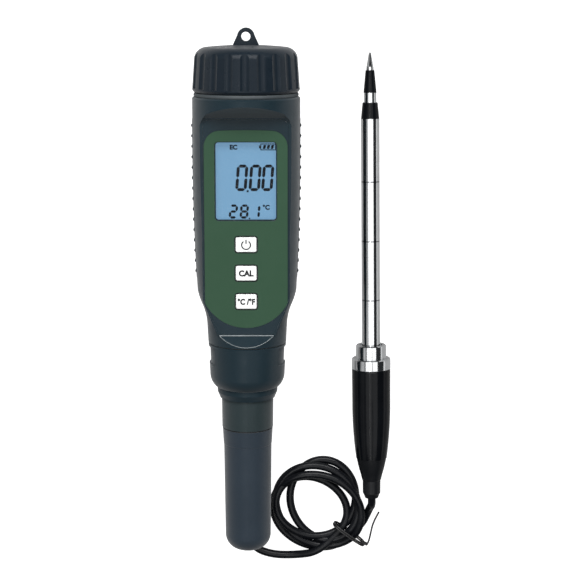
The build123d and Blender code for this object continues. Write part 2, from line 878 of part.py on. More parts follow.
with BuildPart() as probe_handle:
    with BuildSketch(probe_side):
        with BuildLine():
            Polyline((handle_start, 4.72), (handle_start, 7.05), (handle_start + 0.3, 7.26), (130.0, 7.2))
            ThreePointArc((130.0, 7.2), (143.0, 6.8), (boot_start, 5.8))
            Polyline(
                (boot_start, 5.8),
                (boot_start, 3.3),
                (146.0, 3.3),
                (146.0, shank_r + 0.02),
                (ferrule_end + 0.1, shank_r + 0.02),
                (ferrule_end + 0.1, 4.72),
                (handle_start, 4.72),
            )
        make_face()
    revolve(axis=probe_axis)
probe_handle.part.label = "probe_handle"
export_step(probe_handle.part, "parts/probe_handle.step")

with BuildPart() as handle_boot:
    with BuildSketch(probe_side):
        with BuildLine():
            Polyline((146.2, 0), (146.2, 3.28), (boot_start + 0.05, 3.28), (boot_start + 0.05, 5.65))
            ThreePointArc((boot_start + 0.05, 5.65), (155.9, 5.0), (159.2, 4.1))
            Polyline((159.2, 4.1), (161.2, 3.62), (161.5, 3.4), (166.5, 3.35), (167.0, 3.0))
            Polyline((167.0, 3.0), (probe_len, 2.5), (probe_len, 0), (146.2, 0))
        make_face()
    revolve(axis=probe_axis)
handle_boot.part.label = "handle_boot"
export_step(handle_boot.part, "parts/handle_boot.step")

# A temperature sensor in the shaft, behind the electrodes.
with BuildPart() as thermistor:
    with BuildSketch(probe_side):
        Polygon((32.7, 0), (32.9, 0.8), (33.6, 1.3), (40.0, 1.3), (40.0, 0), align=None)
    revolve(axis=probe_axis)
thermistor.part.label = "thermistor"
export_step(thermistor.part, "parts/thermistor.step")

with BuildPart() as probe_wires:
    with BuildSketch(Plane(origin=probe_side.from_local_coords((40.5, 0, 0)), z_dir=tailward)):
        with PolarLocations(1.4, 4):
            Circle(0.5)
    extrude(amount=105.0)
probe_wires.part.label = "probe_wires"
export_step(probe_wires.part, "parts/probe_wires.step")

# ---------------------------------------------------------------- cable
# A thin limp cable: it drops from the bush to the table, lies in a loose coil of four turns
# and climbs to the probe's boot.  The coil is one plain solid of its outer shape.
tie_centre = (21.4, -96.7, 4.0)
tie_plane = Plane(origin=tie_centre, x_dir=(0.81, -0.586, 0), z_dir=(0.586, 0.81, 0))
tie_tail_points = [
    (26.8, -100.6, 3.2),
    (28.6, -100.7, 3.4),
    (29.9, -96.4, 3.0),
    (31.2, -92.0, 2.6),
    (33.0, -88.5, 2.2),
]
with BuildPart() as cable_tie:
    with BuildSketch(tie_plane):
        RectangleRounded(15.6, 8.0, 1.6)
        RectangleRounded(14.4, 6.8, 1.1, mode=Mode.SUBTRACT)
    extrude(amount=0.7, both=True)
    with BuildLine() as tie_tail_path:
        FilletPolyline(*tie_tail_points, radius=bend_radii(tie_tail_points))
    with BuildSketch(tie_tail_path.line ^ 0):
        Circle(0.35)
    sweep(path=tie_tail_path.line)
cable_tie.part.label = "cable_tie"
export_step(cable_tie.part, "parts/cable_tie.step")

with BuildPart() as cord_coil:
    with BuildSketch():
        with Locations(*coil_centres):
            Circle(coil_r)
        make_hull()
        with Locations(coil_hole_centre):
            Ellipse(coil_hole_radii[0], coil_hole_radii[1], mode=Mode.SUBTRACT)
    extrude(amount=coil_height)
    add(cable_tie.part, mode=Mode.SUBTRACT)
cord_coil.part.label = "cord_coil"
export_step(cord_coil.part, "parts/cord_coil.step")

lead_radii = bend_radii(lead_points)
with BuildPart() as cord_lead:
    with BuildLine() as lead_path:
        FilletPolyline(*lead_points, radius=lead_radii)
    with BuildSketch(lead_path.line ^ 0):
        Circle(cord_r)
    sweep(path=lead_path.line)
    add(cord_coil.part, mode=Mode.SUBTRACT)
cord_lead.part.label = "cord_lead"
export_step(cord_lead.part, "parts/cord_lead.step")

tail_radii = bend_radii(tail_points)
with BuildPart() as cord_tail:
    with BuildLine() as tail_path:
        FilletPolyline(*tail_points, radius=tail_radii)
    with BuildSketch(tail_path.line ^ 0):
        Circle(cord_r)
    sweep(path=tail_path.line)
    add(cord_coil.part, mode=Mode.SUBTRACT)
cord_tail.part.label = "cord_tail"
export_step(cord_tail.part, "parts/cord_tail.step")

lead_length = sum(edge.length for edge in lead_path.edges())
tail_length = sum(edge.length for edge in tail_path.edges())
print("lead bend radii", [round(radius, 1) for radius in lead_radii])
print("tail bend radii", [round(radius, 1) for radius in tail_radii])
print("lead length", round(lead_length, 1), "volume", round(cord_lead.part.volume, 1))
print("tail length", round(tail_length, 1), "volume", round(cord_tail.part.volume, 1))
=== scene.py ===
import math

import bmesh
import bpy
from mathutils import Matrix, Vector


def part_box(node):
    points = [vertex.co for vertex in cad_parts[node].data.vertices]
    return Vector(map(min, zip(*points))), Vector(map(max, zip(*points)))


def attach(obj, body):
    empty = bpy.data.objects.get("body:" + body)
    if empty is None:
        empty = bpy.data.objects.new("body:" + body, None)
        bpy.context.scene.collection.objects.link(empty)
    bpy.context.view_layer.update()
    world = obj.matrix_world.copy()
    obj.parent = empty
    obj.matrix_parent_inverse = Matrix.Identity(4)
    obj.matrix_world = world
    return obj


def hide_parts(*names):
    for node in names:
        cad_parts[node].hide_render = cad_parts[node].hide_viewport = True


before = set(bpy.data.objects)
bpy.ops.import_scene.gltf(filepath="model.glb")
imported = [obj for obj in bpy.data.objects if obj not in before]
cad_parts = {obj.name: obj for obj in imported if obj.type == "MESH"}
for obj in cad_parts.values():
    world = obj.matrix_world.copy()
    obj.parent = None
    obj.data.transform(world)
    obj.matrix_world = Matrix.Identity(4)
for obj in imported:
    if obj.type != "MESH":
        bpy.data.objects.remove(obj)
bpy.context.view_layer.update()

# ---------------------------------------------------------------- table, lamps and camera
# A white table under soft studio lamps.  Two broad boxes overhead light the polished steel,
# a narrow strip draws the thin lines on the black handle, and a third box lights from
# behind the cap.  Dim cards fill the sides.
MM = 0.001
scene = bpy.context.scene
scene.view_settings.view_transform = "Standard"

world = bpy.data.worlds.new("studio")
world.use_nodes = True
world.node_tree.nodes["Background"].inputs["Color"].default_value = (0.86, 0.93, 1.0, 1.0)
world.node_tree.nodes["Background"].inputs["Strength"].default_value = 0.03
scene.world = world


def lamp(name, place, facing, size, brightness):
    """A rectangular soft lamp: it faces one way, and its length lies along Y or across it."""
    data = bpy.data.lights.new(name, "AREA")
    data.shape = "RECTANGLE"
    data.size, data.size_y = size
    data.energy = brightness * math.pi * size[0] * size[1]
    back = -Vector(facing).normalized()
    length_way = (Vector((0, 1, 0)) - back * back.y).normalized()
    turn = Matrix((length_way.cross(back), length_way, back)).transposed()
    holder = bpy.data.objects.new(name, data)
    holder.matrix_world = Matrix.Translation(place) @ turn.to_4x4()
    scene.collection.objects.link(holder)


lamp("overhead_left", (-0.20, -0.10, 0.80), (0, 0, -1), (0.60, 0.80), 1.5)
lamp("overhead_right", (0.365, -0.10, 0.80), (0, 0, -1), (0.43, 0.80), 1.5)
lamp("strip_box", (-0.12, -0.10, 0.79), (0, 0, -1), (0.03, 0.80), 6.0)
lamp("back_box", (0.0, 0.80, 0.70), (0, -0.8, -0.7), (1.30, 0.50), 6.5)
lamp("left_fill", (-0.70, 0.0, 0.76), (0.7, 0, -0.7), (0.34, 1.20), 0.30)
lamp("left_card", (-0.75, 0.0, 0.36), (1, 0, -0.2), (0.60, 1.20), 0.40)
lamp("right_card", (0.80, 0.0, 0.10), (-1, 0, 0), (0.18, 1.20), 0.80)

camera_data = bpy.data.cameras.new("camera")
camera_data.sensor_width = 36.0
camera_data.angle = math.radians(20.6)
camera_data.clip_start = 0.01
camera = bpy.data.objects.new("camera", camera_data)
camera.location = (-2.3 * MM, 112.1 * MM, 590.1 * MM)
camera.rotation_euler = (math.radians(-10.8), 0, 0)
scene.collection.objects.link(camera)
scene.camera = camera


def material(name, colour, roughness, metallic=0.0):
    """A new material with its shader's plain values set; returns it, its shader and its node tree."""
    made = bpy.data.materials.new(name)
    made.use_nodes = True
    shader = made.node_tree.nodes["Principled BSDF"]
    shader.inputs["Base Color"].default_value = (*colour, 1.0)
    shader.inputs["Roughness"].default_value = roughness
    shader.inputs["Metallic"].default_value = metallic
    return made, shader, made.node_tree


def node_group(name, inputs, outputs):
    """A shader node group with named inputs and outputs; returns its tree and its two ends."""
    tree = bpy.data.node_groups.new(name, "ShaderNodeTree")
    for label, kind, value in inputs:
        socket = tree.interface.new_socket(label, in_out="INPUT", socket_type=kind)
        socket.default_value = value
    for label, kind in outputs:
        tree.interface.new_socket(label, in_out="OUTPUT", socket_type=kind)
    return tree, tree.nodes.new("NodeGroupInput"), tree.nodes.new("NodeGroupOutput")


def add_node(tree, kind, **values):
    """A node whose settings or input values are given by name, with _ for each space."""
    made = tree.nodes.new(kind)
    for label, value in values.items():
        if hasattr(made, label):
            setattr(made, label, value)
        else:
            made.inputs[label.replace("_", " ")].default_value = value
    return made


def add_noise(tree, place, scale, detail):
    """A noise texture laid over the object's own coordinates."""
    noise = add_node(tree, "ShaderNodeTexNoise", Scale=scale, Detail=detail)
    tree.links.new(place.outputs["Object"], noise.inputs["Vector"])
    return noise


def add_range(tree, source, from_low, from_high, to_low, to_high):
    """A map range node fed by one value."""
    spread = add_node(
        tree,
        "ShaderNodeMapRange",
        From_Min=from_low,
        From_Max=from_high,
        To_Min=to_low,
        To_Max=to_high,
    )
    tree.links.new(source, spread.inputs["Value"])
    return spread


bpy.ops.mesh.primitive_plane_add(size=6.0, location=(0, 0, -0.00005))
table = bpy.context.object
table.name = "table"
paper, shader, tree = material("table_paper", (0.9, 0.9, 0.9), 0.7)
shader.inputs["Specular IOR Level"].default_value = 0.1
shader.inputs["Emission Color"].default_value = (1.0, 1.0, 1.0, 1.0)
seen = add_node(tree, "ShaderNodeLightPath")
tree.links.new(seen.outputs["Is Camera Ray"], shader.inputs["Emission Strength"])
place = add_node(tree, "ShaderNodeTexCoord")
fibres = add_noise(tree, place, 900.0, 3.0)
paper_tone = add_node(tree, "ShaderNodeMix", data_type="RGBA")
paper_tone.inputs[6].default_value = (0.41, 0.41, 0.41, 1.0)
paper_tone.inputs[7].default_value = (0.43, 0.43, 0.43, 1.0)
tree.links.new(fibres.outputs["Fac"], paper_tone.inputs["Factor"])
tree.links.new(paper_tone.outputs[2], shader.inputs["Base Color"])
table.data.materials.append(paper)

# ---------------------------------------------------------------- cable and its tie
# One limp PVC cable.  It leaves the bush under the end tube, drops to the table, lies in a
# coil of four loose turns and climbs into the probe's boot.  A twist tie holds the turns.
moulded, ends_in, ends_out = node_group(
    "moulded_surface",
    [
        ("Colour", "NodeSocketColor", (0.5, 0.5, 0.5, 1.0)),
        ("Worn Colour", "NodeSocketColor", (0.6, 0.6, 0.6, 1.0)),
        ("Patches", "NodeSocketFloat", 90.0),
        ("Grain", "NodeSocketFloat", 2500.0),
        ("Least Roughness", "NodeSocketFloat", 0.3),
        ("Most Roughness", "NodeSocketFloat", 0.5),
    ],
    [
        ("Colour", "NodeSocketColor"),
        ("Roughness", "NodeSocketFloat"),
        ("Height", "NodeSocketFloat"),
    ],
)
place = add_node(moulded, "ShaderNodeTexCoord")
patches = add_noise(moulded, place, 90.0, 5.0)
grain = add_noise(moulded, place, 2500.0, 2.0)
smears = add_noise(moulded, place, 260.0, 6.0)
worn_share = add_range(moulded, patches.outputs["Fac"], 0.38, 0.72, 0.0, 1.0)
worn_mix = add_node(moulded, "ShaderNodeMix", data_type="RGBA")
smear_share = add_range(moulded, smears.outputs["Fac"], 0.3, 0.7, 0.0, 1.0)
moulded.links.new(ends_in.outputs["Patches"], patches.inputs["Scale"])
moulded.links.new(ends_in.outputs["Grain"], grain.inputs["Scale"])
moulded.links.new(worn_share.outputs["Result"], worn_mix.inputs["Factor"])
moulded.links.new(ends_in.outputs["Colour"], worn_mix.inputs[6])
moulded.links.new(ends_in.outputs["Worn Colour"], worn_mix.inputs[7])
moulded.links.new(ends_in.outputs["Least Roughness"], smear_share.inputs["To Min"])
moulded.links.new(ends_in.outputs["Most Roughness"], smear_share.inputs["To Max"])
moulded.links.new(worn_mix.outputs[2], ends_out.inputs["Colour"])
moulded.links.new(smear_share.outputs["Result"], ends_out.inputs["Roughness"])
moulded.links.new(grain.outputs["Fac"], ends_out.inputs["Height"])


def moulded_material(
    name, colour, worn, gloss, grain=2500.0, depth=0.03, patches=90.0, ior_level=0.5, bloom=0.0
):
    """Moulded plastic or rubber: gloss is its least and most roughness, depth its grain in mm."""
    made, shader, tree = material(name, colour, gloss[0])
    shader.inputs["Specular IOR Level"].default_value = ior_level
    shader.inputs["Sheen Weight"].default_value = bloom
    shader.inputs["Sheen Roughness"].default_value = 0.5
    surface = tree.nodes.new("ShaderNodeGroup")
    surface.node_tree = moulded
    surface.inputs["Colour"].default_value = (*colour, 1.0)
    surface.inputs["Worn Colour"].default_value = (*worn, 1.0)
    surface.inputs["Patches"].default_value = patches
    surface.inputs["Grain"].default_value = grain
    surface.inputs["Least Roughness"].default_value = gloss[0]
    surface.inputs["Most Roughness"].default_value = gloss[1]
    bump = add_node(tree, "ShaderNodeBump", Strength=1.0, Distance=depth * MM)
    tree.links.new(surface.outputs["Colour"], shader.inputs["Base Color"])
    tree.links.new(surface.outputs["Roughness"], shader.inputs["Roughness"])
    tree.links.new(surface.outputs["Height"], bump.inputs["Height"])
    tree.links.new(bump.outputs["Normal"], shader.inputs["Normal"])
    return made


def dress(made, *names):
    """Give a material to CAD nodes."""
    for name in names:
        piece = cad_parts[name]
        if not piece.data.materials:
            piece.data.materials.append(made)
        for number in range(len(piece.material_slots)):
            piece.material_slots[number].link = "OBJECT"
            piece.material_slots[number].material = made


CORD_R = 1.5
lead_route = [
    (-17.3, -90.0, 9.6),
    (-17.3, -90.0, 4.2),
    (-18.5, -96.6, 1.55),
    (-15.4, -103.4, 1.55),
    (-8.4, -106.1, 1.55),
    (0.4, -106.2, 1.7),
    (9.4, -104.0, 4.6),
]
# Each turn is an oval: centre x and y, half length, half width, the heading of its long axis
# in degrees, and its height at the right, top, left and bottom.
turns = [
    (6.8, -86.4, 14.4, 11.4, -28, (1.6, 1.7, 4.6, 4.2)),
    (11.2, -82.6, 12.7, 15.0, 0, (1.6, 1.6, 1.6, 1.6)),
    (8.9, -85.0, 16.6, 15.0, -42, (3.9, 3.9, 2.7, 3.9)),
    (9.0, -87.6, 17.4, 14.9, -22, (5.2, 5.7, 1.6, 1.6)),
]
tail_route = [
    (26.2, -94.0, 1.6),
    (28.2, -89.8, 1.8),
    (29.5, -85.6, 4.6),
    (29.9, -83.3, 9.0),
    (29.69, -80.14, 9.50),
]
TIE_HEADING = -40
TURN_POINTS = 14


def on_oval(turn, heading, spread):
    """A point of one turn of the coil, at a heading in degrees seen from above."""
    x, y, half_length, half_width, lean, heights = turn
    along = math.radians(heading - lean)
    lean = math.radians(lean)
    u = half_length * spread * math.cos(along)
    v = half_width * spread * math.sin(along)
    quarter = (heading % 360) / 90
    low = heights[int(quarter) % 4]
    high = heights[(int(quarter) + 1) % 4]
    share = 0.5 - 0.5 * math.cos(math.pi * (quarter % 1))
    return Vector((
        x + u * math.cos(lean) - v * math.sin(lean),
        y + u * math.sin(lean) + v * math.cos(lean),
        low + (high - low) * share,
    ))


spread = 1 / math.cos(math.pi / TURN_POINTS)
coil_route = []
for number, turn in enumerate(turns):
    following = turns[min(number + 1, len(turns) - 1)]
    for step in range(TURN_POINTS):
        part = step / TURN_POINTS
        heading = TIE_HEADING + 360 * part
        blend = max(0.0, (part - 0.72) / 0.28)
        blend = blend * blend * (3 - 2 * blend)
        here = on_oval(turn, heading, spread)
        there = on_oval(following, heading, spread)
        coil_route.append(tuple(here.lerp(there, blend)))


def tube_curve(name, lines, radius, order=3):
    """A round wire or cable along one or more smooth open lines of points in millimetres."""
    curve = bpy.data.curves.new(name, "CURVE")
    curve.dimensions = "3D"
    curve.bevel_depth = radius * MM
    curve.bevel_resolution = 6
    curve.resolution_u = 8
    curve.use_fill_caps = True
    for line in lines:
        spline = curve.splines.new("NURBS")
        spline.points.add(len(line) - 1)
        for control, (x, y, z) in zip(spline.points, line):
            control.co = (x * MM, y * MM, z * MM, 1.0)
        spline.order_u = order
        spline.use_endpoint_u = True
    piece = bpy.data.objects.new(name, curve)
    scene.collection.objects.link(piece)
    return piece


cord_pvc = moulded_material(
    "cord_pvc", (0.0040, 0.0046, 0.0065), (0.007, 0.008, 0.010), gloss=(0.22, 0.34),
    grain=1800.0, depth=0.010, ior_level=0.2
)
cable = tube_curve("cable", [lead_route + coil_route + tail_route], CORD_R)
cable.data.materials.append(cord_pvc)
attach(cable, "root")
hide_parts("cord_lead", "cord_coil", "cord_tail")

tie_black = moulded_material(
    "tie_black", (0.010, 0.010, 0.011), (0.018, 0.018, 0.019), gloss=(0.30, 0.45),
    grain=1500.0, depth=0.02
)
TIE_WIRE_R = 0.34
TIE_HALF_LENGTH = 7.3
TIE_HALF_HEIGHT = 3.5
TIE_ROUNDNESS = 0.7
TIE_LOOP_STEPS = 16
TWIST_R = 0.38
TWIST_STEPS = 14
tie_middle = Vector((21.4, -96.7, 4.0))
tie_along = Vector((0.81, -0.586, 0)).normalized()
tie_across = Vector((0.586, 0.81, 0)).normalized()
tie_loops = []
for offset in (-0.36, 0.36):
    loop = []
    for step in range(TIE_LOOP_STEPS + 1):
        angle = 2 * math.pi * step / TIE_LOOP_STEPS
        across = math.copysign(abs(math.cos(angle)) ** TIE_ROUNDNESS, math.cos(angle))
        upward = math.copysign(abs(math.sin(angle)) ** TIE_ROUNDNESS, math.sin(angle))
        reach = TIE_HALF_LENGTH * across
        rise = TIE_HALF_HEIGHT * upward
        spot = tie_middle + tie_along * reach + tie_across * offset + Vector((0, 0, rise))
        loop.append(tuple(spot))
    tie_loops.append(loop)
twist_start = Vector((26.6, -100.4, 3.4))
twist_end = Vector((28.6, -101.3, 3.4))
for phase in (0, math.pi):
    strand = []
    for step in range(TWIST_STEPS + 1):
        share = step / TWIST_STEPS
        angle = phase + share * 3.5 * math.pi
        spot = twist_start.lerp(twist_end, share)
        side = Vector((0.41, 0.91, 0)) * math.cos(angle) + Vector((0, 0, 1)) * math.sin(angle)
        strand.append(tuple(spot + side * TWIST_R))
    tie_loops.append(strand)
tie_loops.append([
    (28.3, -101.3, 3.3),
    (29.0, -100.6, 3.4),
    (29.9, -96.4, 3.0),
    (30.8, -92.4, 2.7),
    (33.0, -88.5, 2.2),
])
tie = tube_curve("twist_tie", tie_loops, TIE_WIRE_R)
tie.data.materials.append(tie_black)
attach(tie, "root")
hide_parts("cable_tie")

# ---------------------------------------------------------------- housing and grips
# The body is injection-moulded ABS with a satin spark finish.  Along the lip and the rim below
# its flat front lie real rounded beads whose pale colour is a painted highlight.  The ribbed
# grips are soft rubber moulded into it.  A screw thread is cut on the neck at each end.
shell_plastic = moulded_material(
    "shell_plastic", (0.0050, 0.0175, 0.0255), (0.007, 0.020, 0.029), gloss=(0.30, 0.42),
    grain=2600.0, depth=0.022, ior_level=0.14, bloom=0.24
)
grip_rubber = moulded_material(
    "grip_rubber", (0.0100, 0.0190, 0.0260), (0.013, 0.023, 0.031), gloss=(0.45, 0.60),
    grain=2200.0, ior_level=0.2, bloom=0.56
)
dress(shell_plastic, "housing", "front_plate")
dress(grip_rubber, "grip_left", "grip_right")


def screw_thread(name, radius, depth, low_y, high_y, pitch, axis_x, axis_z):
    """One raised helical thread round a neck that lies along Y; all sizes in millimetres."""
    steps_a_turn = 72
    half_root = 0.30 * pitch
    half_crest = 0.11 * pitch
    length = high_y - low_y - 2 * half_root
    steps = int(steps_a_turn * length / pitch)
    thread_mesh = bmesh.new()
    rows = []
    for step in range(steps + 1):
        angle = 2 * math.pi * step / steps_a_turn
        middle = low_y + half_root + pitch * step / steps_a_turn
        fade = min(1.0, step / 12, (steps - step) / 12)
        row = []
        for along, height in (
            (-half_root, -0.05),
            (-half_crest, depth * fade),
            (half_crest, depth * fade),
            (half_root, -0.05),
        ):
            reach = radius + height
            x = axis_x + reach * math.sin(angle)
            z = axis_z + reach * math.cos(angle)
            row.append(thread_mesh.verts.new((x * MM, (middle + along) * MM, z * MM)))
        rows.append(row)
    for row, next_row in zip(rows, rows[1:]):
        for side in range(4):
            other = (side + 1) % 4
            thread_mesh.faces.new((row[side], row[other], next_row[other], next_row[side]))
    thread_mesh.faces.new(rows[0])
    thread_mesh.faces.new(list(reversed(rows[-1])))
    bmesh.ops.recalc_face_normals(thread_mesh, faces=thread_mesh.faces)
    mesh = bpy.data.meshes.new(name)
    thread_mesh.to_mesh(mesh)
    thread_mesh.free()
    for face in mesh.polygons:
        face.use_smooth = True
    piece = bpy.data.objects.new(name, mesh)
    scene.collection.objects.link(piece)
    return piece


METER_X = -17.3
AXIS_Z = 19.45
# Painted highlight: the edge beads are coloured pale to stand in for light caught on them.
edge_painted_highlight = moulded_material(
    "edge_painted_highlight", (0.12, 0.145, 0.155), (0.21, 0.24, 0.25), gloss=(0.16, 0.26),
    grain=2600.0, depth=0.006, patches=140.0, ior_level=0.9
)
LIP_Y = -12.3
LIP_H = 10.7
LIP_HALF_WIDTH = 9.8
RIM_HALF_WIDTH = 9.6
BODY_R = 14.7
BODY_R_Y = -9
BODY_TAPER = 0.0493
SLOPE = 0.974
LIP_STEPS = 12
RIM_STEPS = 24
lip_line = []
for step in range(LIP_STEPS + 1):
    x = -LIP_HALF_WIDTH + 2 * LIP_HALF_WIDTH * step / LIP_STEPS
    lip_line.append((METER_X + x, LIP_Y + 0.02, AXIS_Z + LIP_H + 0.10))
# The rim is where the slope below the lip meets the round body, found by closing in on it.
rim_line = []
for step in range(RIM_STEPS + 1):
    x = RIM_HALF_WIDTH * math.sin(math.pi * (step / RIM_STEPS - 0.5))
    y = LIP_Y - 3.0
    for _ in range(20):
        body_r = BODY_R + BODY_TAPER * (y - BODY_R_Y)
        height = math.sqrt(body_r ** 2 - x ** 2)
        y = LIP_Y - (height - LIP_H) / SLOPE
    rim_line.append((METER_X + x, y, AXIS_Z + height - 0.05))
for name, line, radius in (("lip_edge", lip_line, 0.28), ("rim_edge", rim_line, 0.15)):
    bead = tube_curve(name, [line], radius)
    bead.data.materials.append(edge_painted_highlight)
    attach(bead, "root")
THREAD_DEPTH = 0.24
cap_thread = screw_thread(
    "cap_thread", radius=16.6, depth=THREAD_DEPTH, low_y=74.8, high_y=83.0, pitch=3.0,
    axis_x=METER_X, axis_z=AXIS_Z
)
collar_thread = screw_thread(
    "collar_thread", radius=11.9, depth=THREAD_DEPTH, low_y=-25.4, high_y=-17.0, pitch=2.0,
    axis_x=METER_X, axis_z=AXIS_Z
)
for piece in (cap_thread, collar_thread):
    piece.data.materials.append(shell_plastic)
    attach(piece, "root")

# ---------------------------------------------------------------- front label and lens
# A printed polyester film lies in the plate's recess.  The display's window is a flat clear
# acrylic lens, let into the plate and the film.
label_film = moulded_material(
    "label_film", (0.029, 0.073, 0.041), (0.031, 0.077, 0.044), gloss=(0.38, 0.48),
    grain=3200.0, depth=0.008, patches=60.0, ior_level=0.12
)
dress(label_film, "front_label")

lens_acrylic, shader, tree = material("lens_acrylic", (0.02, 0.03, 0.04), 0.04)
shader.inputs["Alpha"].default_value = 0.07
place = add_node(tree, "ShaderNodeTexCoord")
wipes = add_noise(tree, place, 150.0, 6.0)
wipe_gloss = add_range(tree, wipes.outputs["Fac"], 0.35, 0.75, 0.02, 0.08)
wipe_veil = add_range(tree, wipes.outputs["Fac"], 0.35, 0.75, 0.030, 0.036)
tree.links.new(wipe_gloss.outputs["Result"], shader.inputs["Roughness"])
tree.links.new(wipe_veil.outputs["Result"], shader.inputs["Alpha"])
dress(lens_acrylic, "display_lens")

# ---------------------------------------------------------------- display
# A liquid crystal glass that glows pale blue of itself, a painted glow.  Its segments and signs
# are the dark electrodes printed on the glass: a reading, a temperature, a unit and a battery sign.
lcd_glass, shader, tree = material("lcd_glass", (0.06, 0.13, 0.20), 0.25)
shader.inputs["Specular IOR Level"].default_value = 0.2
# Painted glow: the glass emits pale blue light, though nothing behind it is a lamp.
shader.inputs["Emission Strength"].default_value = 0.60
place = add_node(tree, "ShaderNodeTexCoord")
mottle = add_noise(tree, place, 70.0, 3.0)
painted_glow_tone = add_node(tree, "ShaderNodeMix", data_type="RGBA")
painted_glow_tone.inputs[6].default_value = (0.190, 0.380, 0.590, 1.0)
painted_glow_tone.inputs[7].default_value = (0.200, 0.395, 0.610, 1.0)
lcd_gloss = add_range(tree, mottle.outputs["Fac"], 0.3, 0.7, 0.2, 0.3)
tree.links.new(mottle.outputs["Fac"], painted_glow_tone.inputs["Factor"])
tree.links.new(painted_glow_tone.outputs[2], shader.inputs["Emission Color"])
tree.links.new(lcd_gloss.outputs["Result"], shader.inputs["Roughness"])
dress(lcd_glass, "lcd_glass")

ink = moulded_material(
    "ink", (0.004, 0.006, 0.009), (0.007, 0.009, 0.013), gloss=(0.45, 0.6),
    grain=3000.0, depth=0.004, ior_level=0.1
)


def centre_of(node):
    """The middle of a CAD node in plan, and the height of its top, in millimetres."""
    low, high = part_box(node)
    return (low[0] + high[0]) / 2 / MM, (low[1] + high[1]) / 2 / MM, high[2] / MM


def printed_shapes(name, outlines, thickness, body, made):
    """Flat printed marks: closed outlines of points in millimetres, all at one height."""
    marks = bmesh.new()
    for outline in outlines:
        bottom = [marks.verts.new((x * MM, y * MM, z * MM)) for x, y, z in outline]
        top = [marks.verts.new((x * MM, y * MM, (z + thickness) * MM)) for x, y, z in outline]
        marks.faces.new(top)
        marks.faces.new(list(reversed(bottom)))
        for corner in range(len(outline)):
            after = (corner + 1) % len(outline)
            marks.faces.new((bottom[corner], bottom[after], top[after], top[corner]))
    bmesh.ops.recalc_face_normals(marks, faces=marks.faces)
    mesh = bpy.data.meshes.new(name)
    marks.to_mesh(mesh)
    marks.free()
    piece = bpy.data.objects.new(name, mesh)
    scene.collection.objects.link(piece)
    mesh.materials.append(made)
    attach(piece, body)
    return piece


def printed_text(name, words, place, height, width, body, made):
    """Generic characters in a plain typeface, centred on a place and fitted to a size."""
    font = bpy.data.curves.new(name, "FONT")
    font.body = words
    font.align_x = "CENTER"
    font.align_y = "CENTER"
    font.size = 0.01
    font.offset = 0.0005
    font.extrude = 0.012 * MM
    font.resolution_u = 4
    piece = bpy.data.objects.new(name, font)
    scene.collection.objects.link(piece)
    bpy.context.view_layer.update()
    piece.scale = (width * MM / piece.dimensions.x, height * MM / piece.dimensions.y, 1)
    piece.location = [value * MM for value in place]
    bpy.context.view_layer.update()
    corners = [piece.matrix_world @ Vector(corner) for corner in piece.bound_box]
    middle = sum(corners, Vector()) / 8
    piece.location.x += place[0] * MM - middle.x
    piece.location.y += place[1] * MM - middle.y
    font.materials.append(made)
    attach(piece, body)
    return piece


window_x, window_y, _ = centre_of("display_lens")
glass_top = centre_of("lcd_glass")[2] + 0.02
SLANT = math.tan(math.radians(4.5))
SEGMENTS = {"0": "abcdef", "1": "bc", "2": "abdeg", "8": "abcdefg"}


def digit(figure, left, bottom, width, height, bar):
    """The lit bars of one seven-segment figure, each a bar with pointed ends."""
    gap = 0.10
    half = bar / 2
    right = width - half
    middle = height / 2
    top = height - half
    runs = {
        "a": ((half, top), (right, top)),
        "b": ((right, middle), (right, top)),
        "c": ((right, half), (right, middle)),
        "d": ((half, half), (right, half)),
        "e": ((half, half), (half, middle)),
        "f": ((half, middle), (half, top)),
        "g": ((half, middle), (right, middle)),
    }
    bars = []
    for letter in SEGMENTS[figure]:
        start = Vector(runs[letter][0])
        end = Vector(runs[letter][1])
        along = (end - start).normalized()
        side = Vector((-along.y, along.x)) * half
        start += along * gap
        end -= along * gap
        corners = [
            start,
            start + along * half + side,
            end - along * half + side,
            end,
            end - along * half - side,
            start + along * half - side,
        ]
        bars.append([
            (window_x + left + x + y * SLANT, window_y + bottom + y, glass_top)
            for x, y in corners
        ])
    return bars


def box_outline(left, bottom, right, top, lean=0.0):
    """A four-cornered mark on the glass, leaning right by lean at its top."""
    corners = ((left, bottom), (right, bottom), (right + lean, top), (left + lean, top))
    return [(window_x + x, window_y + y, glass_top) for x, y in corners]


marks = []
for left in (-3.9, 0.85, 5.35):
    marks += digit("0", left, bottom=-3.7, width=4.1, height=9.5, bar=1.08)
marks.append(box_outline(0.25, -4.1, 0.95, -3.4))
for figure, left in (("2", -6.3), ("8", -2.4), ("1", 1.7)):
    marks += digit(figure, left, bottom=-13.6, width=3.1, height=5.1, bar=0.85)
marks.append(box_outline(0.95, -13.8, 1.45, -13.3))
battery_case = (
    (5.2, 13.0, 10.7, 13.3),
    (5.2, 10.9, 10.7, 11.2),
    (10.4, 11.2, 10.7, 13.0),
    (5.2, 11.2, 5.5, 13.0),
    (4.7, 11.6, 5.2, 12.6),
)
CHARGE_BAR = 0.95
CHARGE_LEAN = 0.35
for left, bottom, right, top in battery_case:
    marks.append(box_outline(left, bottom, right, top))
for left in (6.0, 7.4, 8.8):
    marks.append(box_outline(left, 11.4, left + CHARGE_BAR, 12.8, CHARGE_LEAN))
printed_shapes("display_segments", marks, 0.03, "root", ink)
sign_spots = (("unit_sign", "EC", -4.35, 12.0, 1.8, 2.7), ("degree_sign", "°C", 7.2, -9.5, 1.9, 2.5))
for name, words, x, y, height, width in sign_spots:
    place = (window_x + x, window_y + y, glass_top)
    printed_text(name, words, place, height, width, "root", ink)
